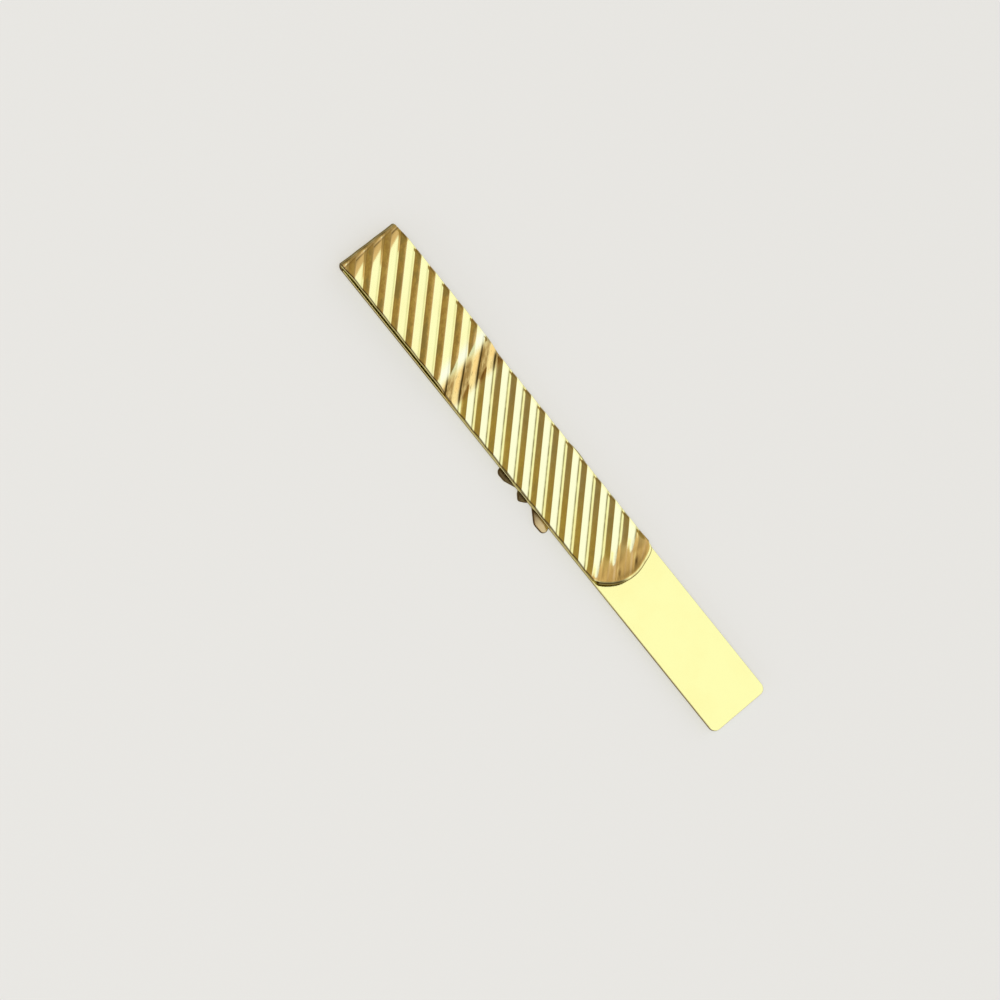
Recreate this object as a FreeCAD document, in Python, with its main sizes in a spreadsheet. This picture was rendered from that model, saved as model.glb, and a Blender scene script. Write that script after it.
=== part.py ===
import FreeCAD, Part
import math
import os
import Sketcher
from FreeCAD import Vector

# A tie clip lying on its face: one strip of brass folded back on itself, with a ribbed grip tongue
# above a plain bar and an ornament pinned under the bar.
# X runs along the bar from the fold to the free end, Y across it, Z from the face to the back.

doc = FreeCAD.newDocument("tie_clip")
sheet = doc.addObject("Spreadsheet::Sheet", "sizes")

driving_sizes = [
    # the folded strip
    ("overall_length", 80.0),
    ("strip_width", 9.5),
    ("sheet_thickness", 0.6),
    ("fold_gap", 0.5),
    ("free_end_corner_radius", 1.0),
    # the tongue: where the hairpin becomes the tongue, and the tongue's own side view
    ("tongue_start_angle", 45.0),
    ("tongue_length", 57.0),
    ("tongue_tip_bow", 2.4),
    ("crown_angle", 22.0),
    ("crown_run", 3.2),
    ("joggle_start", 19.5),
    ("joggle_run", 4.6),
    ("grip_clearance", 0.12),
    ("lip_run", 5.0),
    ("lip_rise", 0.75),
    # the diagonal ribs: flat-bottomed grooves between sharp ridges
    ("rib_angle", 45.0),
    ("rib_pitch", 3.0),
    ("first_ridge", 1.22),
    ("groove_depth", 0.22),
    ("groove_floor", 0.54),
    ("ridge_below_blank", 0.02),
    # the ornament: round petals that run out from a hub
    ("ornament_thickness", 1.0),
    ("ornament_chamfer", 0.2),
    ("hub_x", -0.2),
    ("hub_y", 0.3),
    ("hub_radius", 1.6),
    ("top_petal_x", -0.4),
    ("top_petal_y", 2.3),
    ("top_petal_radius", 3.0),
    ("right_petal_x", 3.35),
    ("right_petal_y", -3.7),
    ("right_petal_radius", 2.15),
    ("left_petal_x", -4.05),
    ("left_petal_y", -3.25),
    ("left_petal_radius", 2.1),
    ("bud_x", -0.65),
    ("bud_y", -4.3),
    ("bud_radius", 1.15),
    ("right_leaf_x", 0.95),
    ("right_leaf_y", 3.25),
    ("right_leaf_radius", 2.05),
    ("left_leaf_x", -1.75),
    ("left_leaf_y", 3.25),
    ("left_leaf_radius", 2.05),
    # the two pins that hold the ornament, peened flush in the bar
    ("pin_spacing", 3.8),
    ("pin_y", -1.45),
    ("pin_diameter", 1.2),
    ("pin_head_diameter", 2.0),
    ("pin_head_depth", 0.35),
    ("pin_seat_depth", 0.55),
    ("pin_clearance", 0.02),
]
for row, (alias, value) in enumerate(driving_sizes, start=1):
    sheet.set(f"A{row}", alias)
    sheet.set(f"B{row}", str(value))
    sheet.setAlias(f"B{row}", alias)
doc.recompute()


def size(alias):
    return float(sheet.get(alias))


# Places that several pieces share
fold_x = -size("overall_length") / 2
bend_outer_radius = size("sheet_thickness") + size("fold_gap") / 2
bend_x = fold_x + bend_outer_radius
bar_top = size("ornament_thickness") + size("sheet_thickness")
bend_z = bar_top + size("fold_gap") / 2
half_sheet = size("sheet_thickness") / 2

fold_x_text = "(-sizes.overall_length / 2)"
bend_outer_text = "(sizes.sheet_thickness + sizes.fold_gap / 2)"
bend_x_text = f"({fold_x_text} + {bend_outer_text})"
bar_top_text = "(sizes.ornament_thickness + sizes.sheet_thickness)"
bend_z_text = f"({bar_top_text} + sizes.fold_gap / 2)"


def origin_feature(body, role):
    for feature in body.Origin.OriginFeatures:
        if feature.Role == role:
            return feature


def sketch_on(body, name, role):
    sketch = body.newObject("Sketcher::SketchObject", name)
    sketch.AttachmentSupport = [(origin_feature(body, role), "")]
    sketch.MapMode = "FlatFace"
    return sketch


def add_loop(sketch, points):
    # a closed run of straight sides, which are geometry 0, 1, 2 and so on
    for start, end in zip(points, points[1:] + points[:1]):
        sketch.addGeometry(Part.LineSegment(start, end), False)
    for side in range(len(points)):
        sketch.addConstraint(Sketcher.Constraint("Coincident", side, 2, (side + 1) % len(points), 1))


def drive(sketch, kind, *where_and_value, expression):
    index = sketch.addConstraint(Sketcher.Constraint(kind, *where_and_value))
    sketch.setExpression(f"Constraints[{index}]", expression)


def make_face_bar():
    # the plain front strip, from the hairpin to its free end, with two countersunk pin holes
    body = doc.addObject("PartDesign::Body", "face_bar")
    half_width = size("strip_width") / 2
    free_x = -fold_x
    outline = sketch_on(body, "bar_outline", "XY_Plane")
    add_loop(
        outline,
        [
            Vector(bend_x, -half_width, 0),
            Vector(free_x, -half_width, 0),
            Vector(free_x, half_width, 0),
            Vector(bend_x, half_width, 0),
        ],
    )
    outline.addConstraint(Sketcher.Constraint("Horizontal", 0))
    outline.addConstraint(Sketcher.Constraint("Horizontal", 2))
    outline.addConstraint(Sketcher.Constraint("Vertical", 1))
    outline.addConstraint(Sketcher.Constraint("Symmetric", 0, 1, 2, 2, -1))
    drive(outline, "DistanceY", 1, 1, 1, 2, size("strip_width"), expression="sizes.strip_width")
    drive(outline, "DistanceX", -1, 1, 1, 1, free_x, expression="sizes.overall_length / 2")
    length_text = f"sizes.overall_length - {bend_outer_text}"
    drive(outline, "DistanceX", 0, 1, 0, 2, free_x - bend_x, expression=length_text)
    plate = body.newObject("PartDesign::Pad", "bar_plate")
    plate.Profile = outline
    plate.Reversed = True
    plate.setExpression("Length", "sizes.sheet_thickness")
    doc.recompute()

    corners = []
    for number, edge in enumerate(plate.Shape.Edges, start=1):
        upright = abs(edge.BoundBox.ZLength - size("sheet_thickness")) < 1e-6
        if upright and edge.BoundBox.XMin > 0:
            corners.append(f"Edge{number}")
    rounding = body.newObject("PartDesign::Fillet", "bar_corners")
    rounding.Base = (plate, corners)
    rounding.setExpression("Radius", "sizes.free_end_corner_radius")

    hole = sketch_on(body, "pin_hole_section", "XZ_Plane")
    shank = size("pin_diameter") / 2 + size("pin_clearance")
    head = size("pin_head_diameter") / 2 + size("pin_clearance")
    deep = size("sheet_thickness")
    add_loop(
        hole,
        [
            Vector(0, 0, 0),
            Vector(head, 0, 0),
            Vector(shank, -size("pin_head_depth"), 0),
            Vector(shank, -deep, 0),
            Vector(0, -deep, 0),
        ],
    )
    hole.addConstraint(Sketcher.Constraint("Coincident", 0, 1, -1, 1))
    hole.addConstraint(Sketcher.Constraint("Horizontal", 0))
    hole.addConstraint(Sketcher.Constraint("Vertical", 2))
    hole.addConstraint(Sketcher.Constraint("Horizontal", 3))
    hole.addConstraint(Sketcher.Constraint("Vertical", 4))
    head_text = "sizes.pin_head_diameter / 2 + sizes.pin_clearance"
    shank_text = "sizes.pin_diameter / 2 + sizes.pin_clearance"
    drive(hole, "DistanceX", 0, 1, 0, 2, head, expression=head_text)
    drive(hole, "DistanceX", 3, 2, 3, 1, shank, expression=shank_text)
    drive(hole, "DistanceY", 1, 2, 1, 1, size("pin_head_depth"), expression="sizes.pin_head_depth")
    drive(hole, "DistanceY", 4, 1, 4, 2, deep, expression="sizes.sheet_thickness")
    hole.setExpression("AttachmentOffset.Base.x", "sizes.pin_spacing / 2")
    hole.setExpression("AttachmentOffset.Base.z", "-sizes.pin_y")
    doc.recompute()
    drilled = body.newObject("PartDesign::Groove", "pin_hole")
    drilled.Profile = hole
    drilled.ReferenceAxis = (hole, ["V_Axis"])
    drilled.Angle = 360
    doc.recompute()
    pair = body.newObject("PartDesign::Mirrored", "pin_holes")
    pair.Originals = [drilled]
    pair.MirrorPlane = (origin_feature(body, "YZ_Plane"), [""])
    body.Tip = pair
    body.setExpression("Placement.Base.z", bar_top_text)
    return body


def make_hairpin_bend():
    # the strip's section turned about the middle of the fold, from the bar up to the tongue
    body = doc.addObject("PartDesign::Body", "hairpin_bend")
    half_width = size("strip_width") / 2
    inner = size("fold_gap") / 2
    section = sketch_on(body, "bend_section", "YZ_Plane")
    add_loop(
        section,
        [
            Vector(-half_width, -bend_outer_radius, 0),
            Vector(half_width, -bend_outer_radius, 0),
            Vector(half_width, -inner, 0),
            Vector(-half_width, -inner, 0),
        ],
    )
    section.addConstraint(Sketcher.Constraint("Horizontal", 2))
    section.addConstraint(Sketcher.Constraint("Vertical", 1))
    section.addConstraint(Sketcher.Constraint("Vertical", 3))
    section.addConstraint(Sketcher.Constraint("Symmetric", 0, 1, 0, 2, -2))
    drive(section, "DistanceX", 0, 1, 0, 2, size("strip_width"), expression="sizes.strip_width")
    drive(section, "DistanceY", 1, 1, 1, 2, size("sheet_thickness"), expression="sizes.sheet_thickness")
    drive(section, "DistanceY", 1, 2, -1, 1, inner, expression="sizes.fold_gap / 2")
    turn = body.newObject("PartDesign::Revolution", "bend_turn")
    turn.Profile = section
    turn.ReferenceAxis = (origin_feature(body, "Y_Axis"), [""])
    turn.setExpression("Angle", "180 - sizes.tongue_start_angle")
    body.Tip = turn
    body.setExpression("Placement.Base.x", bend_x_text)
    body.setExpression("Placement.Base.z", bend_z_text)
    return body


class SideRun:
    # the tongue's side view, walked from the hairpin to the tip along the middle of the sheet

    def __init__(self):
        start = math.radians(90 + size("tongue_start_angle"))
        middle = bend_outer_radius - half_sheet
        self.point = Vector(bend_x + middle * math.cos(start), 0, bend_z + middle * math.sin(start))
        self.heading = math.radians(size("tongue_start_angle"))
        self.legs = []
        self.walk(middle)

    def away(self):
        # the way from the sheet's middle to the tongue's back
        return Vector(-math.sin(self.heading), 0, math.cos(self.heading))

    def turn(self, angle, radius):
        # positive angles climb away from the bar, about a centre on the back's side
        side = math.copysign(radius, angle)
        centre = self.point + self.away() * side
        stations = [(self.point, self.away())]
        for _ in range(2):
            self.heading += angle / 2
            self.point = centre - self.away() * side
            stations.append((self.point, self.away()))
        self.legs.append((stations, centre, side))

    def run_to(self, x):
        stations = [(self.point, self.away())]
        along = (x - self.point.x) / math.cos(self.heading)
        self.point = self.point + Vector(math.cos(self.heading), 0, math.sin(self.heading)) * along
        stations.append((self.point, self.away()))
        self.legs.append((stations, None, None))

    def walk(self, bend_middle_radius):
        crown = math.radians(size("crown_angle"))
        self.turn(crown - self.heading, bend_middle_radius)
        self.turn(-crown, size("crown_run") / math.sin(crown))
        self.run_to(fold_x + size("joggle_start"))
        drop = self.point.z - (bar_top + size("grip_clearance") + half_sheet)
        joggle = 2 * math.atan2(drop, size("joggle_run"))
        joggle_radius = size("joggle_run") / (2 * math.sin(joggle))
        self.turn(-joggle, joggle_radius)
        self.turn(joggle, joggle_radius)
        self.run_to(fold_x + size("tongue_length") - size("lip_run"))
        lip = 2 * math.atan2(size("lip_rise"), size("lip_run"))
        self.turn(lip, size("lip_run") / math.sin(lip))

    def edges(self, distance):
        found = []
        for stations, centre, side in self.legs:
            points = [point + away * distance for point, away in stations]
            curve = Part.Arc(*points) if centre else Part.LineSegment(*points)
            found.append(curve.toShape())
        return found

    def back_height(self, x):
        # height of the tongue's back at x; past the hairpin and past the tip it runs on straight
        ribbed = self.legs[1:]
        for stations, centre, side in ribbed:
            start, end = (point + away * half_sheet for point, away in (stations[0], stations[-1]))
            if start.x <= x <= end.x:
                if centre is None:
                    return start.z + (end.z - start.z) * (x - start.x) / (end.x - start.x)
                radius = abs(side) - math.copysign(half_sheet, side)
                return centre.z - math.copysign(math.sqrt(radius**2 - (x - centre.x) ** 2), side)
        first_station = ribbed[0][0][0]
        last_station = ribbed[-1][0][-1]
        point, away = first_station if x < first_station[0].x else last_station
        on_back = point + away * half_sheet
        return on_back.z - (x - on_back.x) * away.x / away.z


def make_grip_tongue():
    side = SideRun()
    half_width = size("strip_width") / 2

    # the plain blank: the side view drawn out across the strip
    back = side.edges(half_sheet)
    under = side.edges(-half_sheet)
    tip = Part.makeLine(back[-1].Vertexes[-1].Point, under[-1].Vertexes[-1].Point)
    root = Part.makeLine(under[0].Vertexes[0].Point, back[0].Vertexes[0].Point)
    profile = doc.addObject("Part::Feature", "tongue_side_view")
    profile.Shape = Part.Face(Part.Wire(back + [tip] + under[::-1] + [root]))
    blank = doc.addObject("Part::Extrusion", "tongue_blank")
    blank.Base = profile
    blank.DirMode = "Custom"
    blank.Dir = Vector(0, 1, 0)
    blank.Symmetric = True
    blank.Solid = True
    blank.setExpression("LengthFwd", "sizes.strip_width")

    # the plan view: straight sides and a tip rounded by one shallow arc
    tip_x = fold_x + size("tongue_length")
    shoulder_x = tip_x - size("tongue_tip_bow")
    behind = fold_x - bend_outer_radius
    corners = [
        Vector(shoulder_x, half_width, 0),
        Vector(behind, half_width, 0),
        Vector(behind, -half_width, 0),
        Vector(shoulder_x, -half_width, 0),
    ]
    rounded = Part.Arc(corners[3], Vector(tip_x, 0, 0), corners[0]).toShape()
    straight = [Part.makeLine(start, end) for start, end in zip(corners, corners[1:])]
    plan = doc.addObject("Part::Feature", "tongue_plan_view")
    plan.Shape = Part.Face(Part.Wire([rounded] + straight))
    outline = doc.addObject("Part::Extrusion", "tongue_outline")
    outline.Base = plan
    outline.DirMode = "Custom"
    outline.Dir = Vector(0, 0, 1)
    outline.Solid = True
    outline.setExpression("LengthFwd", f"2 * {bend_z_text}")

    # the ribs: a block whose top follows the tongue's back in diagonal ridges and grooves
    reach = half_width + size("sheet_thickness")
    foot = -size("strip_width")
    lean = 1 / math.tan(math.radians(size("rib_angle")))
    steps_across = 16

    def slice_at(place, depth):
        tops = []
        for step in range(steps_across + 1):
            y = reach * (2 * step / steps_across - 1)
            x = place - y * lean
            tops.append(Vector(x, y, side.back_height(x) - depth))
        line_across = Part.BSplineCurve()
        line_across.interpolate(tops)
        round_below = [
            tops[-1],
            Vector(tops[-1].x, tops[-1].y, foot),
            Vector(tops[0].x, tops[0].y, foot),
            tops[0],
        ]
        straight = [Part.makeLine(start, end) for start, end in zip(round_below, round_below[1:])]
        return Part.Wire([line_across.toShape()] + straight)

    pitch = size("rib_pitch")
    ridge_depth = size("ridge_below_blank")
    floor_depth = ridge_depth + size("groove_depth")
    slope_run = (pitch - size("groove_floor")) / 2
    first = math.floor((-2 * bend_outer_radius - reach * lean) / pitch)
    last = math.ceil((size("tongue_length") + reach * lean) / pitch)
    slices = []
    for rib in range(first, last + 1):
        ridge_x = fold_x + size("first_ridge") + rib * pitch
        slices.append(slice_at(ridge_x, ridge_depth))
        slices.append(slice_at(ridge_x + slope_run, floor_depth))
        slices.append(slice_at(ridge_x + pitch - slope_run, floor_depth))
    ribs = doc.addObject("Part::Feature", "tongue_ribs")
    ribs.Shape = Part.makeLoft(slices, True, True)

    tongue = doc.addObject("Part::MultiCommon", "grip_tongue")
    tongue.Shapes = [blank, outline, ribs]
    return tongue


def petal_face(tip, tip_radius):
    # a petal widens from the hub to a round tip, with straight sides that touch both rounds
    hub = Vector(size("hub_x"), size("hub_y"), 0)
    hub_radius = size("hub_radius")
    axis = tip - hub
    lean = math.acos((hub_radius - tip_radius) / axis.Length)
    toward = math.atan2(axis.y, axis.x)

    def on_round(centre, radius, angle):
        return centre + Vector(math.cos(angle), math.sin(angle), 0) * radius

    hub_left = on_round(hub, hub_radius, toward + lean)
    hub_back = on_round(hub, hub_radius, toward + math.pi)
    hub_right = on_round(hub, hub_radius, toward - lean)
    tip_right = on_round(tip, tip_radius, toward - lean)
    tip_front = on_round(tip, tip_radius, toward)
    tip_left = on_round(tip, tip_radius, toward + lean)
    edges = [
        Part.Arc(hub_left, hub_back, hub_right).toShape(),
        Part.makeLine(hub_right, tip_right),
        Part.Arc(tip_right, tip_front, tip_left).toShape(),
        Part.makeLine(tip_left, hub_left),
    ]
    return Part.Face(Part.Wire(edges))


def make_ornament():
    # the petals as one plate, flat behind and in front, with its front edge broken all round
    lobes = []
    for name in ("top_petal", "right_petal", "left_petal", "bud", "right_leaf", "left_leaf"):
        face = doc.addObject("Part::Feature", f"{name}_view")
        tip = Vector(size(f"{name}_x"), size(f"{name}_y"), 0)
        face.Shape = petal_face(tip, size(f"{name}_radius"))
        lobe = doc.addObject("Part::Extrusion", name)
        lobe.Base = face
        lobe.DirMode = "Custom"
        lobe.Dir = Vector(0, 0, 1)
        lobe.Solid = True
        lobe.setExpression("LengthFwd", "sizes.ornament_thickness")
        lobes.append(lobe)
    plate = doc.addObject("Part::MultiFuse", "ornament_plate")
    plate.Shapes = lobes
    plate.Refine = True
    doc.recompute()
    broken = doc.addObject("Part::Chamfer", "ornament_front_edge")
    broken.Base = plate
    chamfer = size("ornament_chamfer")
    broken.Edges = [
        (number, chamfer, chamfer)
        for number, edge in enumerate(plate.Shape.Edges, start=1)
        if edge.BoundBox.ZMax < size("ornament_thickness") / 2
    ]

    seats = []
    for name, side in (("right_pin_seat", 1), ("left_pin_seat", -1)):
        seat = doc.addObject("Part::Cylinder", name)
        depth_text = "(sizes.pin_seat_depth + sizes.pin_clearance)"
        seat.setExpression("Radius", "sizes.pin_diameter / 2 + sizes.pin_clearance")
        seat.setExpression("Height", depth_text)
        seat.setExpression("Placement.Base.x", f"{side} * sizes.pin_spacing / 2")
        seat.setExpression("Placement.Base.y", "sizes.pin_y")
        seat.setExpression("Placement.Base.z", f"sizes.ornament_thickness - {depth_text}")
        seats.append(seat)
    both = doc.addObject("Part::MultiFuse", "pin_seats")
    both.Shapes = seats
    ornament = doc.addObject("Part::Cut", "ornament")
    ornament.Base = broken
    ornament.Tool = both
    return ornament


def make_ornament_pins():
    # each pin stands in the ornament's back and is spread into the bar's countersink
    pair = []
    length_text = "(sizes.pin_seat_depth + sizes.sheet_thickness)"
    for name, side in (("right_pin", 1), ("left_pin", -1)):
        shank = doc.addObject("Part::Cylinder", f"{name}_shank")
        shank.setExpression("Radius", "sizes.pin_diameter / 2")
        shank.setExpression("Height", length_text)
        head = doc.addObject("Part::Cone", f"{name}_head")
        head.setExpression("Radius1", "sizes.pin_diameter / 2")
        head.setExpression("Radius2", "sizes.pin_head_diameter / 2")
        head.setExpression("Height", "sizes.pin_head_depth")
        head.setExpression("Placement.Base.z", f"{length_text} - sizes.pin_head_depth")
        pin = doc.addObject("Part::Fuse", name)
        pin.Base = shank
        pin.Tool = head
        pin.setExpression("Placement.Base.x", f"{side} * sizes.pin_spacing / 2")
        pin.setExpression("Placement.Base.y", "sizes.pin_y")
        pin.setExpression("Placement.Base.z", "sizes.ornament_thickness - sizes.pin_seat_depth")
        pair.append(pin)
    pins = doc.addObject("Part::Compound", "ornament_pins")
    pins.Links = pair
    return pins


def write_parts(pieces):
    doc.recompute()
    for item in doc.Objects:
        if "Invalid" in item.State or "Error" in item.State:
            raise RuntimeError(f"{item.Label} failed: {item.State}")
    for piece in pieces:
        if piece.Shape.isNull() or not piece.Shape.isValid():
            raise RuntimeError(f"{piece.Label} has no valid shape")
    os.makedirs("parts", exist_ok=True)
    for piece in pieces:
        piece.Shape.exportStep(f"parts/{piece.Label}.step")
        box = piece.Shape.BoundBox
        print(
            f"{piece.Label}: solids {len(piece.Shape.Solids)}, volume {piece.Shape.Volume:.3f} mm3,",
            f"x {box.XMin:.3f} to {box.XMax:.3f}, y {box.YMin:.3f} to {box.YMax:.3f},",
            f"z {box.ZMin:.3f} to {box.ZMax:.3f}",
        )


write_parts(
    [
        make_face_bar(),
        make_hairpin_bend(),
        make_grip_tongue(),
        make_ornament(),
        make_ornament_pins(),
    ]
)
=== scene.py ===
import math
from types import SimpleNamespace

import bmesh
import bpy
from mathutils import Matrix, Vector, noise


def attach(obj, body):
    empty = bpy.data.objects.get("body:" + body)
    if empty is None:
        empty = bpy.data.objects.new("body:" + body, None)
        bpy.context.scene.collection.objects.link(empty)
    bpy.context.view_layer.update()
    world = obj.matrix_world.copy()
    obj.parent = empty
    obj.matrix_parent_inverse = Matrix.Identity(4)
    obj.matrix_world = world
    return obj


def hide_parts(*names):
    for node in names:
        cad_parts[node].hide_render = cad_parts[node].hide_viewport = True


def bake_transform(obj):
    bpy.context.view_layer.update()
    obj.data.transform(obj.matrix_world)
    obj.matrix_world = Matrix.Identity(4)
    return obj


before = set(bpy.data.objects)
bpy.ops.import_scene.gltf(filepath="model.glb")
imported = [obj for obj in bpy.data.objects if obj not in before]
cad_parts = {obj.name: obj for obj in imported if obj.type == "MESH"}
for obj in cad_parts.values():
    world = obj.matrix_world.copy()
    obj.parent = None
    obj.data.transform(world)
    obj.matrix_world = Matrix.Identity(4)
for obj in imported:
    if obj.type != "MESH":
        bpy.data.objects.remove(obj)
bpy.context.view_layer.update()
print("frame loaded:", ", ".join(sorted(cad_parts)))

mm = 0.001  # pieces are shaped in millimetres and brought to metres at the end
tiny = 1e-5  # points closer than this count as one


def clamp(value):
    return min(max(value, 0.0), 1.0)


def softStep(low, high, value):
    t = clamp((value - low) / (high - low))
    return t * t * (3.0 - 2.0 * t)


def bell(value, middle, width):
    return math.exp(-((value - middle) / width) ** 2)


def between(ends, share):
    return ends[0] + (ends[1] - ends[0]) * share


def bothSides(half):
    return sorted({side * place for place in half for side in (-1.0, 1.0)})


def only(geom, kind):
    return [g for g in geom if isinstance(g, kind)]


def withParts(faces):
    # each part once and in the same order every time, so that the cuts come out alike
    geom = dict.fromkeys(faces)
    for face in faces:
        geom.update(dict.fromkeys(face.edges))
        geom.update(dict.fromkeys(face.verts))
    return list(geom)


def newPiece(name, bm, material):
    bm.transform(Matrix.Scale(mm, 4))
    for face in bm.faces:
        face.smooth = True
    mesh = bpy.data.meshes.new(name)
    bm.to_mesh(mesh)
    bm.free()
    mesh.materials.append(material)
    piece = bpy.data.objects.new(name, mesh)
    bpy.context.collection.objects.link(piece)
    print("made", name, "with", len(mesh.polygons), "faces")
    return piece


# the sheet that the bar and the tongue are both cut from
sheet = {
    "halfWidth": 4.75,
    "half": 0.3,  # half of the thickness
    "sideRim": 0.08,  # width of the tumbled edge
    "sideDrop": 0.1,  # and how far it rounds down
    "rimSteps": 4,
    "weld": 0.004,  # cuts that cross this close share a point
    "sliver": 0.002,
    "seamWeld": 0.001,
    "onSeam": 1e-4,
}


def layGrid(columns, rows, lean):
    bm = bmesh.new()
    across, along = len(rows) - 1, len(columns) - 1
    bmesh.ops.create_grid(bm, x_segments=along, y_segments=across, size=0.5)
    for v in bm.verts:
        y = rows[round((v.co.y + 0.5) * across)]
        v.co = Vector((columns[round((v.co.x + 0.5) * along)] - lean * y, y, 0.0))
    return bm


def shear(bm, places, clear, near=None):
    # cuts along (point, direction) lines; what lies on the direction's side can be cleared away
    for point, direction in places:
        faces = bm.faces[:]
        if near:
            faces = [f for f in faces if near[0] < f.calc_center_median().x < near[1]]
        bmesh.ops.bisect_plane(
            bm, geom=withParts(faces), dist=tiny, plane_co=(*point, 0.0),
            plane_no=(*direction, 0.0), clear_outer=clear,
        )


def roundRim(bm, rim, side, outward):
    # carries the edge outward and down in a quarter round, and gives the edges that it ends on
    quarter = math.pi / 2
    for step in range(sheet["rimSteps"]):
        a = quarter * step / sheet["rimSteps"]
        b = quarter * (step + 1) / sheet["rimSteps"]
        made = bmesh.ops.extrude_edge_only(bm, edges=rim)["geom"]
        fresh = set(only(made, bmesh.types.BMVert))
        rim = [e for e in only(made, bmesh.types.BMEdge) if set(e.verts) <= fresh]
        for v in fresh:
            out, width, drop = outward(v.co.x, v.co.y)
            v.co.x += out[0] * width * (math.sin(b) - math.sin(a))
            v.co.y += out[1] * width * (math.sin(b) - math.sin(a))
            v.co.z -= side * drop * (math.cos(a) - math.cos(b))
    return rim


def rollSheet(bm, outward, seam):
    # gives a flat cut sheet its thickness, with rounded edges all round except at the seam
    bmesh.ops.remove_doubles(bm, verts=bm.verts[:], dist=sheet["weld"])
    bmesh.ops.dissolve_degenerate(bm, dist=sheet["sliver"], edges=bm.edges[:])
    copied = bmesh.ops.duplicate(bm, geom=bm.verts[:] + bm.edges[:] + bm.faces[:])["geom"]
    lower = only(copied, bmesh.types.BMVert)
    upper = list(set(bm.verts) - set(lower))
    bmesh.ops.translate(bm, verts=upper, vec=(0.0, 0.0, sheet["half"]))
    bmesh.ops.translate(bm, verts=lower, vec=(0.0, 0.0, -sheet["half"]))
    bmesh.ops.reverse_faces(bm, faces=only(copied, bmesh.types.BMFace))
    for side, verts in ((1.0, set(upper)), (-1.0, set(lower))):
        rim = [e for e in bm.edges if e.is_boundary and e.verts[0] in verts]
        rim = [e for e in rim if max(v.co.x for v in e.verts) > seam + sheet["onSeam"]]
        rim = roundRim(bm, rim, side, outward)
        if side > 0.0:
            wall = bmesh.ops.extrude_edge_only(bm, edges=rim)["geom"]
            for v in only(wall, bmesh.types.BMVert):
                v.co.z = -v.co.z
    bmesh.ops.remove_doubles(bm, verts=bm.verts[:], dist=sheet["seamWeld"])
    openEdges = [e for e in bm.edges if e.is_boundary]
    bmesh.ops.holes_fill(bm, edges=openEdges, sides=0)
    for edge in openEdges:
        edge.smooth = False
    bmesh.ops.recalc_face_normals(bm, faces=bm.faces[:])


# tongue: stamped flat with diagonal ribs, then folded over
fold = {
    "seamX": -38.95,  # the bend's strip starts here on the bar
    "barMid": 1.3,
    "bendX": -39.15,
    "bendRadius": 0.55,
    "bendCuts": 40,
    "afterCuts": (16, 1.5),  # more cuts past the bend: how many, and how much further apart
    "cutReach": 0.6,
    "bendPinch": 0.04,  # the strip draws in a little where it turns
    "pinchAt": (0.5, 0.2),
    "nick": (0.5, 0.45),  # a broken line where the ribs meet the turn: place and slant from the end
    "nickDepth": 0.01,
    "nickWidth": 0.08,
    "crown": 22.0,  # degrees
    "crownRun": 3.2,
    "stepStart": -20.5,
    "stepRun": 4.6,
    "stepLean": 0.1,  # the step was pressed a little askew
    "stepNear": (-0.5, 1.5),  # shares of the step that the lean reaches
    "gripMid": 2.02,
    "lipStart": 12.0,
    "lipRun": 5.0,
    "lipRise": 0.75,
    "tipBow": 2.4,
    "tipRim": 0.42,
    "tipDrop": 0.24,
    "tipCuts": 15,
    "tipTurn": (-0.5, 0.3),  # the edge turns from side to round between these, from the shoulder
    "tipSkew": ((0.75, 2.0, 5.5), (-0.2, -1.0, -4.75)),  # cut askew: each shoulder's shift, and where in Y
    "skewFade": (6.0, 2.0),  # from the tip
    "waves": (0.005, 0.45, 7.0),  # height, tightness and start
}
ribs = {
    "pitch": 3.0,
    "firstRidge": -0.627,  # along the flat strip, on its middle line
    "lean": 0.97,  # close to 45 degrees
    "slip": (0.27, 0.08),  # the strip crept this far under the die, before and after the step
    "slipRun": 7.0,
    "fallRun": 1.38,  # from a ridge down towards the tip
    "riseRun": (1.25, 1.10),  # and up to the next one, before and after the step
    "depth": 0.22,
    "fallBelly": 0.45,  # hollow of the falling faces
    "riseBelly": (0.25, -0.25),  # and of the rising ones, before and after the step
    "stepBelly": ((0.5, 0.02, 0.22), (-0.45, 1.1, 0.22)),  # more of it beside the step: size, place and width
    "ridgeLow": 0.02,
    "ridgeSoft": 0.045,
    "creaseSoft": 0.03,
    "runIn": (0.4, 1.25),  # the ribs rise out of the turn between these shares of it
    "runOut": (0.25, 0.8),  # and stop between these distances from the tip
    "topLow": (0.45, 1.0),  # they are shallow along the upper edge
    "topIn": (0.1, 0.55),
    "tipFade": (4.8, 2.4),  # the grooves close up between these distances from the tip
    "closedShort": 0.35,
    "closedDepth": 0.94,
    "closedSteep": 0.6,
    "closedSoon": 0.4,
    "strike": (0.1, 0.31, 4.2),  # the die did not strike evenly: depth, tightness and start, rib by rib
    "dents": (0.08, 0.3, 11.0),  # and place by place
    "weak": 0.06,  # and less along the lower edge
    "weakFrom": (-1.0, -4.0),
    "fallCuts": (0.0, 0.02, 0.06, 0.12, 0.4, 0.75, 1.05, 1.24, 1.32, 1.37, 1.42, 1.48, 1.58),
    "riseCuts": (0.02, 0.06, 0.12, 0.35, 0.62, 0.9, 1.04, 1.09, 1.14, 1.2, 1.25, 1.3, 1.36),
    "rows": tuple(0.3 * k for k in range(14)) + (4.15, 4.32, 4.44, 4.53, 4.6, 4.67),
}

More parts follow.
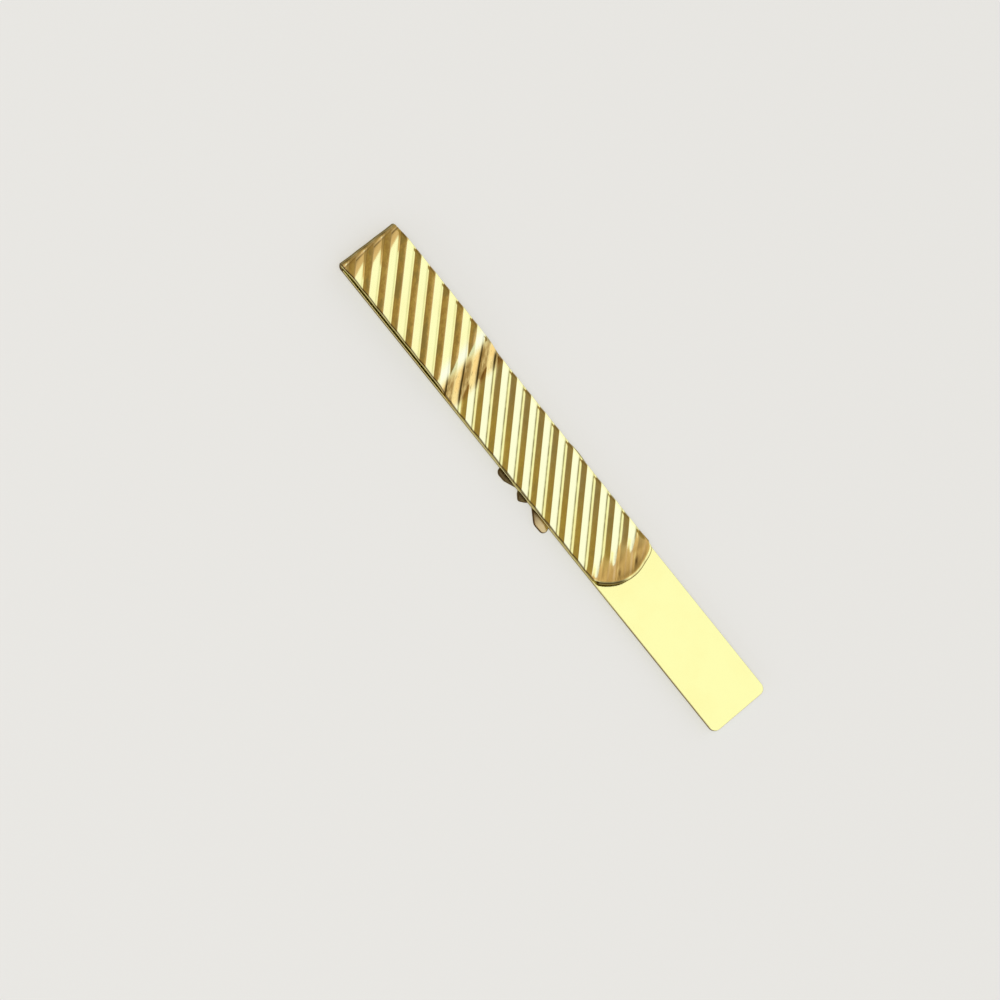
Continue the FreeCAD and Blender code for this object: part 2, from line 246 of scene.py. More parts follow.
# masks for the tongue's finish, its wear and its painted shade and highlights; a pair is a ramp's start and
# end, a bell's middle and width, or an amount that changes from the first value to the second, most often
# over the step
wearAndShade = {
    "masks": (
        "crease", "shade", "edge", "pale", "wornAndShade", "ochre", "brown", "stepGlint", "risingShade", "golden", "olive",
    ),
    # shares of the step and of the turn, and the faces that rise to a ridge
    "stepOn": (0.15, 0.4),
    "stepOff": (1.08, 0.85),
    "turnOn": (0.5, 0.7),
    "faceOn": (0.0, 0.2),
    "faceOff": (0.1, -0.1),
    # dark lines: dirt and painted shade in the creases, painted shade beside the nick and under the tip
    "line": 0.13,
    "lineFade": 0.8,
    "caught": (0.3, 1.0),
    "caughtRising": 0.25,
    "nickShade": (0.3, 0.9),
    "nickShadeAt": 0.19,
    "nickShadeWidth": 0.08,
    "underTip": (0.9, 0.2),
    # dark spots near the tip, and painted shade under its lower lip
    "spot": 0.9,
    "spotAcross": (1.02, 0.28),
    "spotFromTip": (1.4, 0.5),
    "spotAbove": (-2.0, -1.2),
    "stepShade": 0.95,
    "lowLip": (-0.8, -2.2),
    "lipShade": (0.34, 0.18),
    "lipLow": (0.35, 1.0),
    "lipLowFrom": (0.0, 0.1),
    # painted shade along the edges: before and after the step, at the end, along the top, at the tip and
    # where stripes stop
    "rimIn": (0.1, 0.03),
    "rimWidth": (0.06, 0.09),
    "wallFrom": (0.0, 0.05),
    "wallRun": 0.06,
    "wallBright": (0.95, 0.75),
    "wallOn": (0.6, 1.0),
    "end": 0.85,
    "endOn": (0.42, 0.55),
    "endOff": (0.97, 0.84),
    "top": 0.7,
    "topOff": (1.9, 1.3),
    "tip": 0.8,
    "tipOn": (0.13, 0.03),
    "tipLow": 0.3,
    "tipTop": 0.6,
    "tipTopIn": (0.25, 0.08),
    "tipTopFrom": (5.2, 4.4),
    "stripe": 0.6,
    "stripeIn": (0.42, 0.16),
    # pale ridges and falling faces, and a painted highlight on the nick
    "ridge": 0.7,
    "ridgeWidth": 0.1,
    "cream": (0.3, 1.0),
    "creamOff": (1.4, 1.1),
    "creamIn": 0.1,
    "nickShine": 0.1,
    # worn plate and painted shade on the facets, the turn and the tip
    "facets": 0.12,
    "facetsOn": (1.1, 1.3),
    "facetsOff": (2.1, 1.7),
    "turned": 0.2,
    "turnedOn": (0.05, 0.3),
    "turnedOff": (1.3, 1.1),
    "tipWornAndShade": 0.4,
    "tipWornAndShadeOn": (0.3, 0.9),
    "shineClear": 0.9,
    # the step's brown stretch and painted highlight, and the painted shade on the rising faces
    "brownFalling": (0.0, 0.1),
    "brownRising": (-1.2, -0.7),
    "stepGlint": (0.08, 0.18),
    "stepGlintRising": 0.2,
    "risingShadePast": 0.45,
    "olive": (-2.5, 3.0),
}


def onLeg(leg, run):
    x, z, a, length, turn = leg[1:]
    if turn == 0.0:
        return x + run * math.cos(a), z + run * math.sin(a), a
    bend = turn / length
    b = a + bend * run
    return x + (math.sin(b) - math.sin(a)) / bend, z - (math.cos(b) - math.cos(a)) / bend, b


def walkFold():
    # the strip's middle line in legs: start along the strip, X, Z, heading, length and turn
    legs = {}
    at = [0.0, fold["seamX"], fold["barMid"], math.pi]

    def leg(name, length, turn):
        legs[name] = (*at, length, turn)
        at[:] = [at[0] + length, *onLeg(legs[name], length)]

    crown = math.radians(fold["crown"])
    leg("root", fold["seamX"] - fold["bendX"], 0.0)
    leg("bend", fold["bendRadius"] * (math.pi - crown), crown - math.pi)
    leg("crown", fold["crownRun"] / math.sin(crown) * crown, -crown)
    leg("rear", fold["stepStart"] - at[1], 0.0)
    dip = 2.0 * math.atan((at[2] - fold["gripMid"]) / fold["stepRun"])
    arc = fold["stepRun"] / (2.0 * math.sin(dip)) * dip
    leg("stepDown", arc, -dip)
    leg("stepOut", arc, dip)
    leg("grip", fold["lipStart"] - at[1], 0.0)
    lift = 2.0 * math.atan(fold["lipRise"] / fold["lipRun"])
    leg("lip", fold["lipRun"] / math.sin(lift) * lift, lift)
    return legs, at[0]


def planTongue():
    legs, tip = walkFold()
    half, bow = sheet["halfWidth"], fold["tipBow"]
    bowRadius = (half ** 2 + bow ** 2) / (2.0 * bow)
    stepFrom = legs["stepDown"][0]
    stepTo = legs["grip"][0]
    return SimpleNamespace(
        legs=legs, tip=tip, shoulder=tip - bow, bowRadius=bowRadius, bowX=tip - bowRadius,
        stepFrom=stepFrom, stepTo=stepTo, stepMiddle=0.5 * (stepFrom + stepTo),
        bendFrom=legs["bend"][0], bendLong=legs["bend"][4],
    )


def crept(place, stepMiddle):
    run = ribs["slipRun"]
    return place + between(ribs["slip"], softStep(stepMiddle - run, stepMiddle + run, place))


def ribPlace(p, stepMiddle):
    # undoes the creep; three rounds settle it
    place = p
    for _ in range(3):
        place += p - crept(place, stepMiddle)
    return place - ribs["firstRidge"]


def ribShape(along, step, closed):
    # depth below the sheet, distance from the ridge and past the crease, and which face it is
    falling = along < 0.5 * (ribs["pitch"] + ribs["fallRun"] - ribs["riseRun"][1])
    soon = softStep(0.0, ribs["closedSoon"], closed)
    pastStep = softStep(0.0, 1.0, step)
    left = 1.0 - ribs["closedDepth"] * closed
    if falling:
        d = along
        run = ribs["fallRun"] * (1.0 - ribs["closedShort"] * closed)
        # the ridge broadens as the groove closes
        flat = run - ribs["fallRun"] * left / (1.0 + ribs["closedSteep"] * soon)
        belly = ribs["fallBelly"] * (1.0 - soon)
    else:
        d = ribs["pitch"] - along
        run = between(ribs["riseRun"], pastStep)
        flat = 0.0
        belly = between(ribs["riseBelly"], pastStep)
        belly += sum(size * bell(step, place, width) for size, place, width in ribs["stepBelly"])
    over = d - run
    fall = math.hypot(max(d - flat, 0.0), ribs["ridgeSoft"]) - ribs["ridgeSoft"]
    foot = 0.5 * (over + math.hypot(over, ribs["creaseSoft"]))
    part = (fall - foot) / (run - flat)
    part *= left * (1.0 - belly + belly * part)
    return ribs["ridgeLow"] + ribs["depth"] * part, d, over, falling, flat


def cutTongue(plan):
    half, rim, pitch = sheet["halfWidth"], sheet["sideRim"], ribs["pitch"]
    first = math.floor((-half - ribs["firstRidge"]) / pitch)
    last = math.ceil((plan.tip + half - ribs["firstRidge"]) / pitch)
    ridges = [ribs["firstRidge"] + k * pitch for k in range(first, last + 1)]
    cuts = [-cut for cut in reversed(ribs["riseCuts"])] + list(ribs["fallCuts"])
    columns = [crept(ridge + cut, plan.stepMiddle) for ridge in ridges for cut in cuts]
    bm = layGrid(columns, bothSides(ribs["rows"]), ribs["lean"])
    shear(bm, [((0.0, 0.0), (-1.0, 0.0))], True)

    inner = plan.bowRadius - fold["tipRim"]
    reach = math.asin((half - rim) / inner)
    turns = [reach * k / fold["tipCuts"] for k in range(-fold["tipCuts"], fold["tipCuts"] + 1)]
    shear(bm, [
        ((plan.bowX + inner * math.cos(t), inner * math.sin(t)), (math.cos(t), math.sin(t))) for t in turns
    ], True, (plan.shoulder - 1.0, math.inf))

    cutLong = plan.bendLong / fold["bendCuts"]
    bendLines = [plan.bendFrom + cutLong * k for k in range(fold["bendCuts"] + 1)]
    count, wider = fold["afterCuts"]
    bendLines += [bendLines[-1] + wider * cutLong * k for k in range(1, count + 1)]
    shear(bm, [((u, 0.0), (1.0, 0.0)) for u in bendLines], False, (0.0, bendLines[-1] + fold["cutReach"]))
    return bm


def locate(plan, outward, co):
    # a point of the flat strip in the terms that its shape and finish go by
    half = sheet["halfWidth"]
    u, y, n = co
    wall = sheet["half"] - outward(u, y)[2]
    at = SimpleNamespace(u=u, y=y, n=n, below=sheet["half"] - n)
    at.top = clamp((n + wall) / (2.0 * wall))  # 1 on the outer side, 0 on the inner one
    at.toTip = plan.bowRadius - math.hypot(u - plan.bowX, y) if u > plan.bowX else half
    at.turn = (u - plan.bendFrom) / plan.bendLong
    at.lean = fold["stepLean"] * y
    at.step = (u + at.lean - plan.stepFrom) / (plan.stepTo - plan.stepFrom)
    at.onStep = softStep(*wearAndShade["stepOn"], at.step) * softStep(*wearAndShade["stepOff"], at.step)
    at.pastStep = softStep(0.0, 1.0, at.step)
    fadeFrom, fadeTo = ribs["tipFade"]
    at.closed = clamp((fadeFrom - plan.tip + u) / (fadeFrom - fadeTo))
    at.runOut = softStep(*ribs["runIn"], at.turn) * softStep(*ribs["runOut"], at.toTip)
    if y > 0.0:
        at.runOut *= between(ribs["topLow"], softStep(*ribs["topIn"], half - y))
    at.along = ribPlace(u + ribs["lean"] * y, plan.stepMiddle)
    across = at.along % ribs["pitch"]
    at.left = 1.0 - across / ribs["pitch"]
    at.depth, at.d, at.over, at.falling, at.flat = ribShape(across, at.step, at.closed)
    at.face = 0.0
    if not at.falling:
        at.face = at.top * softStep(*wearAndShade["faceOn"], at.d) * softStep(*wearAndShade["faceOff"], at.over)
        at.face *= 1.0 - at.closed
    return at


def wavy(setting, x, y):
    height, tight, start = setting
    return height * noise.noise((x * tight, y * tight, start))


def foldOver(plan, at):
    # brings a point of the flat strip to its place, and notes where it lies beside the nick
    u, y = at.u, at.y
    uneven, tight, start = ribs["strike"]
    depth = 1.0 + uneven * noise.noise((at.along * tight, start, 0.0)) + wavy(ribs["dents"], u, y)
    depth *= at.depth * (1.0 - ribs["weak"] * at.pastStep * softStep(*ribs["weakFrom"], y))
    shift = at.lean if fold["stepNear"][0] < at.step < fold["stepNear"][1] else 0.0
    skew = sum(far * softStep(near, full, y) for far, near, full in fold["tipSkew"])
    skew *= softStep(*fold["skewFade"], plan.tip - u)
    place = u + shift + skew
    leg = plan.legs["root"]
    if u > 0.0:
        leg = [each for each in plan.legs.values() if each[0] <= place + tiny][-1]
    x, z, a = onLeg(leg, place - leg[0])
    n = at.n - at.top * at.runOut * depth + at.top * wavy(fold["waves"], u, y)
    at.fromEnd = x - n * math.sin(a) - fold["bendX"] + fold["bendRadius"] + sheet["half"]
    at.nickAt = fold["nick"][0] + fold["nick"][1] * at.left
    at.onTurn = at.top * softStep(*wearAndShade["turnOn"], at.turn)
    n -= fold["nickDepth"] * at.onTurn * bell(at.fromEnd, at.nickAt, fold["nickWidth"])
    pinch = 1.0 - fold["bendPinch"] * bell(at.turn, *fold["pinchAt"])
    return Vector((x - shift - n * math.sin(a), y * pinch, z + n * math.cos(a)))


def darkWearAndShade(plan, at):
    half, rim = sheet["halfWidth"], sheet["sideRim"]
    width, caught, spot = wearAndShade["line"], wearAndShade["caughtRising"], 0.0
    if at.falling:
        width *= 1.0 + at.onStep
        caught = min(between(wearAndShade["caught"], at.pastStep) + at.onStep, 1.0)
    else:
        spot = wearAndShade["spot"] * at.top * bell(at.d, *wearAndShade["spotAcross"])
        spot *= bell(plan.tip - at.u, *wearAndShade["spotFromTip"]) * softStep(*wearAndShade["spotAbove"], at.y)
    # dark line along each crease: dirt and painted shade
    line = at.top * at.runOut * bell(at.over, 0.0, width) * (1.0 - wearAndShade["lineFade"] * at.closed)
    # painted shade beside the nick
    nick = between(wearAndShade["nickShade"], at.left) * at.onTurn
    nick *= bell(at.fromEnd, at.nickAt + wearAndShade["nickShadeAt"], wearAndShade["nickShadeWidth"])
    # painted shade under the tip
    underTip = (1.0 - at.top) * softStep(*wearAndShade["underTip"], at.toTip)
    # painted shadow under the lifted lower lip
    lowLip = softStep(*wearAndShade["lowLip"], at.y)
    lip = softStep(*wearAndShade["lipShade"], at.toTip) * lowLip
    lip *= between(wearAndShade["lipLow"], softStep(*wearAndShade["lipLowFrom"], at.toTip))

    # painted shade along the lower edge, less on its wall
    rimLine = half - rim - between(wearAndShade["rimIn"], at.pastStep)
    low = softStep(rimLine - between(wearAndShade["rimWidth"], at.pastStep), rimLine, -at.y)
    wallFrom = between(wearAndShade["wallFrom"], at.pastStep)
    wall = softStep(wallFrom, wallFrom + wearAndShade["wallRun"], at.below) * softStep(*wearAndShade["wallOn"], at.turn)
    low *= 1.0 - between(wearAndShade["wallBright"], at.pastStep) * wall
    # painted shade at the fold's end, along the top near the fold, at the tip's rim and where the stripes
    # stop
    end = wearAndShade["end"] * softStep(*wearAndShade["endOn"], at.turn) * softStep(*wearAndShade["endOff"], at.turn)
    top = wearAndShade["top"] * softStep(half - rim, half, at.y) * softStep(*wearAndShade["topOff"], at.turn)
    tip = wearAndShade["tip"] * softStep(*wearAndShade["tipOn"], at.toTip) * (1.0 - wearAndShade["tipLow"] * lowLip)
    tipTop = wearAndShade["tipTop"] * softStep(*wearAndShade["tipTopIn"], half - at.y)
    tipTop *= softStep(*wearAndShade["tipTopFrom"], plan.tip - at.u)
    stripe = wearAndShade["stripe"] * at.face * softStep(*wearAndShade["stripeIn"], half - at.y)
    # crease: dirt and painted shade; shade: dark spots and painted shade; edge: painted shade
    return {
        "crease": max(line * caught, nick, underTip),
        "shade": max(spot, lip, wearAndShade["stepShade"] * line * at.onStep * at.falling),
        "edge": max(low, end, top, tip, tipTop, lip, stripe),
    }


def plateWearShadeAndGlint(at):
    cream = 0.0
    if at.falling:
        cream = softStep(*wearAndShade["creamOff"], at.d) * softStep(at.flat - wearAndShade["creamIn"], at.flat, at.d)
        cream *= between(wearAndShade["cream"], at.pastStep)
    # painted highlight on the nick
    shine = at.onTurn * bell(at.fromEnd, at.nickAt, wearAndShade["nickShine"])
    ridge = wearAndShade["ridge"] * bell(at.d, 0.0, wearAndShade["ridgeWidth"])
    # worn plate with painted shade on the facets, the turn and the tip
    facets = wearAndShade["facets"] * softStep(*wearAndShade["facetsOn"], at.turn) * softStep(*wearAndShade["facetsOff"], at.turn)
    turned = wearAndShade["turned"] * softStep(*wearAndShade["turnedOn"], at.turn) * softStep(*wearAndShade["turnedOff"], at.turn)
    tip = wearAndShade["tipWornAndShade"] * at.top * softStep(*wearAndShade["tipWornAndShadeOn"], at.closed) * (1.0 - cream)
    brown = softStep(*wearAndShade["brownFalling" if at.falling else "brownRising"], at.over)
    # painted highlight on the step's falling faces
    stepGlint = bell(at.step, *wearAndShade["stepGlint"]) * (1.0 if at.falling else wearAndShade["stepGlintRising"])
    # painted shade on the faces that rise to a ridge, less past the step
    rising = at.face * at.runOut
    return {
        "pale": max(at.top * at.runOut * max(ridge, cream), shine),
        "wornAndShade": max(facets, turned, tip) * (1.0 - wearAndShade["shineClear"] * shine),
        "ochre": at.onStep,
        "brown": at.top * at.onStep * brown,
        "stepGlint": at.top * stepGlint,
        "risingShade": rising * (1.0 - wearAndShade["risingShadePast"] * at.pastStep),
        "golden": rising * at.pastStep,
        "olive": rising * at.pastStep * softStep(*wearAndShade["olive"], at.y),
    }


def makeTongue(material):
    plan = planTongue()
    bm = cutTongue(plan)

    def outward(u, y):
        t = softStep(plan.shoulder + fold["tipTurn"][0], plan.shoulder + fold["tipTurn"][1], u)
        a = between((math.copysign(math.pi / 2, y), math.atan2(y, u - plan.bowX)), t)
        width = between((sheet["sideRim"], fold["tipRim"]), t)
        drop = between((sheet["sideDrop"], fold["tipDrop"]), t)
        return (math.cos(a), math.sin(a)), width, drop

    rollSheet(bm, outward, 0.0)
    masks = {name: bm.verts.layers.float.new(name) for name in wearAndShade["masks"]}
    for v in bm.verts:
        at = locate(plan, outward, v.co)
        v.co = foldOver(plan, at)
        for name, share in {**darkWearAndShade(plan, at), **plateWearShadeAndGlint(at)}.items():
            v[masks[name]] = share
    return newPiece("spring_tongue", bm, material)


# bar: plain strip with a square free end
bar = {
    "freeEnd": 40.0,
    "corner": 1.0,
    "cornerCuts": 6,
    "cornerNear": 3.0,
    "onEnd": 0.01,
    "grid": 1.5,
    "endCuts": (0.3, 0.1),  # from the rim of the free end
    "rows": (0.0, 1.2, 2.4, 3.4, 4.1, 4.5, 4.67),
    "edgeIn": 0.05,
    "edgeShadeLess": 0.4,  # the painted shade on the cut edge is lighter along the grip, between these places
    "lessShadeOn": (-22.0, -12.0),
    "lessShadeOff": (22.0, 17.0),
}


def makeBar(material):
    start, end, half, rim = fold["seamX"], bar["freeEnd"], sheet["halfWidth"], sheet["sideRim"]
    count = round((end - rim - start) / bar["grid"])
    columns = [start + (end - rim - start) * k / count for k in range(count + 1)]
    columns[-1:-1] = [end - rim - cut for cut in bar["endCuts"]]
    bm = layGrid(columns, bothSides(bar["rows"]), 0.0)
    inner = bar["corner"] - rim
    middle = (end - bar["corner"], half - bar["corner"])
    turns = [math.pi / 2 * (k + 0.5) / bar["cornerCuts"] for k in range(bar["cornerCuts"])]
    for side in (1.0, -1.0):
        shear(bm, [
            (
                (middle[0] + inner * math.cos(t), side * (middle[1] + inner * math.sin(t))),
                (math.cos(t), side * math.sin(t)),
            ) for t in turns
        ], True, (end - bar["cornerNear"], math.inf))

    def outward(x, y):
        dx, dy = x - middle[0], abs(y) - middle[1]
        if dx > 0.0 and dy > 0.0:
            a = math.atan2(dy, dx)
        else:
            a = 0.0 if dx > 0.0 and x > end - rim - bar["onEnd"] else math.pi / 2
        return (math.cos(a), math.copysign(math.sin(a), y)), rim, sheet["sideDrop"]

    rollSheet(bm, outward, start)
    # painted shade on the bar's cut edges
    cutEdgeShade = bm.verts.layers.float.new("cutEdgeShade")
    for v in bm.verts:
        v[cutEdgeShade] = softStep(sheet["half"], sheet["half"] - sheet["sideDrop"] + bar["edgeIn"], abs(v.co.z))
        lessShade = softStep(*bar["lessShadeOn"], v.co.x) * softStep(*bar["lessShadeOff"], v.co.x)
        v[cutEdgeShade] *= 1.0 - bar["edgeShadeLess"] * lessShade
    bmesh.ops.translate(bm, verts=bm.verts[:], vec=(0.0, 0.0, fold["barMid"]))
    return newPiece("face_bar_strip", bm, material)


# ornament: a plain flower of six petals about a beaded boss, cast in one and pinned on
flower = {
    "hub": (-0.2, 0.3, 1.6),
    "petals": (  # each one's outline goes round the hub and these circles
        ((-0.42, 4.3, 1.0), (-1.75, 4.42, 0.8), (0.91, 4.42, 0.8)),
        ((1.85, -3.9, 0.9), (3.55, -4.65, 1.2), (4.45, -5.2, 0.62)),
        ((-4.72, -4.55, 0.8), (-3.95, -4.5, 0.82), (-2.3, -3.75, 0.85)),
        ((-0.6, -4.05, 1.2), (-0.57, -5.0, 0.45)),
        ((1.7, 2.6, 2.05),),
        ((-2.5, 2.6, 2.05),),
    ),
    "circleCuts": 36,
    "flatAngle": 1.0,  # degrees
    "back": 1.0,
    "backRound": 0.15,
    "backCuts": 4,
    "backLayer": 0.015,  # each petal's back is this much lower than the last one's
    "layer": 0.02,  # and its front this much further back
    "onBack": 0.01,
    "wall": 0.52,
    "insets": ((0.07, 0.42), (0.2, 0.28), (0.34, 0.18), (0.4, 0.12)),
    "vein": 0.14,
    "veinDepth": 0.08,
    "veinBelow": 0.05,  # the cuts for it stay this far under the wall
    "veinTop": 0.4,
    "onVein": 1e-3,
    "boss": (1.2, 0.5),  # radius and rise
    "bead": (0.25, 0.25),
    "beads": 12,
    "beadRing": 1.45,
    "domeCuts": (24, 12),
}


def petalBlank(circles, order):
    bm = bmesh.new()
    back = flower["back"] - flower["backLayer"] * order
    for x, y, r in (flower["hub"], *circles):
        for z in (back, flower["wall"] + flower["layer"] * order):
            bmesh.ops.create_circle(
                bm, cap_ends=False, segments=flower["circleCuts"], radius=r,
                matrix=Matrix.Translation((x, y, z)),
            )
    hull = bmesh.ops.convex_hull(bm, input=bm.verts[:])
    inside = only(hull["geom_interior"], bmesh.types.BMVert)
    bmesh.ops.delete(bm, geom=inside, context="VERTS")
    loose = [e for e in bm.edges if not e.link_faces]
    bmesh.ops.delete(bm, geom=loose, context="EDGES")
    bmesh.ops.dissolve_limit(
        bm, angle_limit=math.radians(flower["flatAngle"]), verts=bm.verts[:], edges=bm.edges[:],
    )
    bmesh.ops.recalc_face_normals(bm, faces=bm.faces[:])
    rims = [e for e in bm.edges if all(abs(v.co.z - back) < flower["onBack"] for v in e.verts)]
    bmesh.ops.bevel(
        bm, geom=rims, offset=flower["backRound"], offset_type="OFFSET", segments=flower["backCuts"],
        profile=0.5, affect="EDGES", material=-1,
    )
    return bm


def petalMesh(circles, order):
    hubX, hubY, hubRadius = flower["hub"]
    bm = petalBlank(circles, order)
    front = min(bm.faces, key=lambda f: f.calc_center_median().z)
    size = min(circle[2] for circle in (flower["hub"], *circles)) / hubRadius
    for inset, z in flower["insets"]:
        bmesh.ops.inset_region(bm, faces=[front], thickness=inset * size, depth=0.0, use_even_offset=True)
        for v in front.verts:
            v.co.z = z + flower["layer"] * order
    hub = Vector((hubX, hubY, 0.0))
    tipX, tipY = (sum(circle[k] for circle in circles) / len(circles) for k in range(2))
    along = Vector((tipX - hubX, tipY - hubY, 0.0)).normalized()
    across = Vector((-along.y, along.x, 0.0))
    for shift in (-flower["vein"], 0.0, flower["vein"]):
        top = [f for f in bm.faces if f.calc_center_median().z < flower["wall"] - flower["veinBelow"]]
        bmesh.ops.bisect_plane(
            bm, geom=withParts(top), dist=tiny, plane_co=hub + across * shift, plane_no=across,
        )
    for v in bm.verts:
        if v.co.z < flower["veinTop"] and abs((v.co - hub).dot(across)) < flower["onVein"]:
            v.co.z += flower["veinDepth"]
    mesh = bpy.data.meshes.new("petal")
    bm.to_mesh(mesh)
    bm.free()
    return mesh


def makeFlower(material):
    bm = bmesh.new()
    for order, circles in enumerate(flower["petals"]):
        petal = petalMesh(circles, order)
        bm.from_mesh(petal)
        bpy.data.meshes.remove(petal)
    x, y = flower["hub"][:2]
    domes = [(x, y, *flower["boss"])]
    for k in range(flower["beads"]):
        a = 2.0 * math.pi * k / flower["beads"]
        ring = flower["beadRing"]
        domes.append((x + ring * math.cos(a), y + ring * math.sin(a), *flower["bead"]))
    for domeX, domeY, radius, rise in domes:
        squash = Matrix.Diagonal((1.0, 1.0, rise / radius, 1.0))
        bmesh.ops.create_uvsphere(
            bm, u_segments=flower["domeCuts"][0], v_segments=flower["domeCuts"][1], radius=radius,
            matrix=Matrix.Translation((domeX, domeY, rise)) @ squash,
        )
    return newPiece("flower_ornament", bm, material)


# the two pins, whose ends are spread flush in the bar's back
pins = {
    "places": ((-1.9, -1.45), (1.9, -1.45)),
    "profile": (  # radius and height
        (0.0, 1.625), (0.35, 1.622), (0.7, 1.612), (0.92, 1.6), (1.0, 1.575),
        (0.6, 1.2), (0.6, 0.5), (0.5, 0.46), (0.0, 0.46),
    ),
    "steps": 36,
    "weld": 0.001,
}


def makePins(material):
    bm = bmesh.new()
    for x, y in pins["places"]:
        verts = [bm.verts.new((x + r, y, z)) for r, z in pins["profile"]]
        edges = [bm.edges.new(pair) for pair in zip(verts, verts[1:])]
        bmesh.ops.spin(
            bm, geom=verts + edges, cent=(x, y, 0.0), axis=(0.0, 0.0, 1.0),
            angle=2.0 * math.pi, steps=pins["steps"], use_merge=True,
        )
    bmesh.ops.remove_doubles(bm, verts=bm.verts[:], dist=pins["weld"])
    bmesh.ops.recalc_face_normals(bm, faces=bm.faces[:])
    return newPiece("ornament_pin_heads", bm, material)


# finishes
def feed(tree, value, socket):
    # another socket is linked, a plain value is set
    if isinstance(value, bpy.types.NodeSocket):
        tree.links.new(value, socket)
    else:
        socket.default_value = value


def node(tree, kind, **values):
    made = tree.nodes.new(kind)
    for name, value in values.items():
        if name.startswith("in_"):
            key = name[3:].replace("_", " ")
            feed(tree, value, made.inputs[int(key) if key.isdigit() else key])
        else:
            setattr(made, name, value)
    return made


def ramp(tree, value, ends, gives=(0.0, 1.0)):
    return node(
        tree, "ShaderNodeMapRange", interpolation_type="SMOOTHSTEP", in_Value=value,
        in_From_Min=ends[0], in_From_Max=ends[1], in_To_Min=gives[0], in_To_Max=gives[1],
    ).outputs["Result"]


def mixIn(tree, factor, first, second):
    mix = node(tree, "ShaderNodeMix", data_type="RGBA", in_Factor=factor, in_6=first, in_7=second)
    return mix.outputs[2]


def times(tree, first, second):
    product = node(tree, "ShaderNodeMath", operation="MULTIPLY", use_clamp=True, in_0=first, in_1=second)
    return product.outputs["Value"]


def sumOf(tree, value, share, rest):
    total = node(tree, "ShaderNodeMath", operation="MULTIPLY_ADD", in_0=value, in_1=share, in_2=rest)
    return total.outputs["Value"]


def placeOf(tree, space="Object"):
    return node(tree, "ShaderNodeTexCoord").outputs[space]


def axesOf(tree, place):
    return node(tree, "ShaderNodeSeparateXYZ", in_0=place).outputs


def attribute(tree, name):
    return node(tree, "ShaderNodeAttribute", attribute_name=name).outputs["Fac"]


# the plating itself: scale, detail and roughness of each noise, and how much it does
plating = {
    "cloud": (190.0, 3.0, 0.55),
    "speck": (2600.0, 2.0, 0.6),
    "hair": (1.0, 3.0, 0.7),
    "hairStretch": (70.0, 6500.0, 900.0),
    "hairTurn": (0.0, 0.0, 0.05),
    "patch": (0.38, 0.68),
    "speckRough": 0.07,
    "rolled": 2.2,
    "pitted": 0.25,
}


def platedSkinGroup():
    group = bpy.data.node_groups.new("platedSkin", "ShaderNodeTree")
    colour, number = "NodeSocketColor", "NodeSocketFloat"
    for way, sockets in (
        ("INPUT", {"Pale": colour, "Deep": colour, "Mottle": number, "Gloss": number, "Hairlines": number}),
        ("OUTPUT", {"Color": colour, "Roughness": number, "Height": number}),
    ):
        for name, kind in sockets.items():
            group.interface.new_socket(name=name, in_out=way, socket_type=kind)
    given = node(group, "NodeGroupInput").outputs
    gives = node(group, "NodeGroupOutput").inputs
    place = placeOf(group)
    stretched = node(
        group, "ShaderNodeMapping", in_Vector=place,
        in_Scale=plating["hairStretch"], in_Rotation=plating["hairTurn"],
    ).outputs["Vector"]

    def grain(name, where):
        scale, detail, rough = plating[name]
        return node(
            group, "ShaderNodeTexNoise", in_Vector=where,
            in_Scale=scale, in_Detail=detail, in_Roughness=rough,
        ).outputs["Fac"]

    cloud, speck, hair = grain("cloud", place), grain("speck", place), grain("hair", stretched)
    share = node(
        group, "ShaderNodeMath", operation="MULTIPLY",
        in_0=ramp(group, cloud, plating["patch"]), in_1=given["Mottle"],
    ).outputs["Value"]
    feed(group, mixIn(group, share, given["Pale"], given["Deep"]), gives["Color"])
    feed(group, sumOf(group, speck, plating["speckRough"], given["Gloss"]), gives["Roughness"])
    scratched = node(group, "ShaderNodeMath", operation="MULTIPLY", in_0=hair, in_1=given["Hairlines"])
    rolled = sumOf(group, cloud, plating["rolled"], scratched.outputs["Value"])
    feed(group, sumOf(group, speck, plating["pitted"], rolled), gives["Height"])
    return group


platedSkin = platedSkinGroup()
print("finish group made")

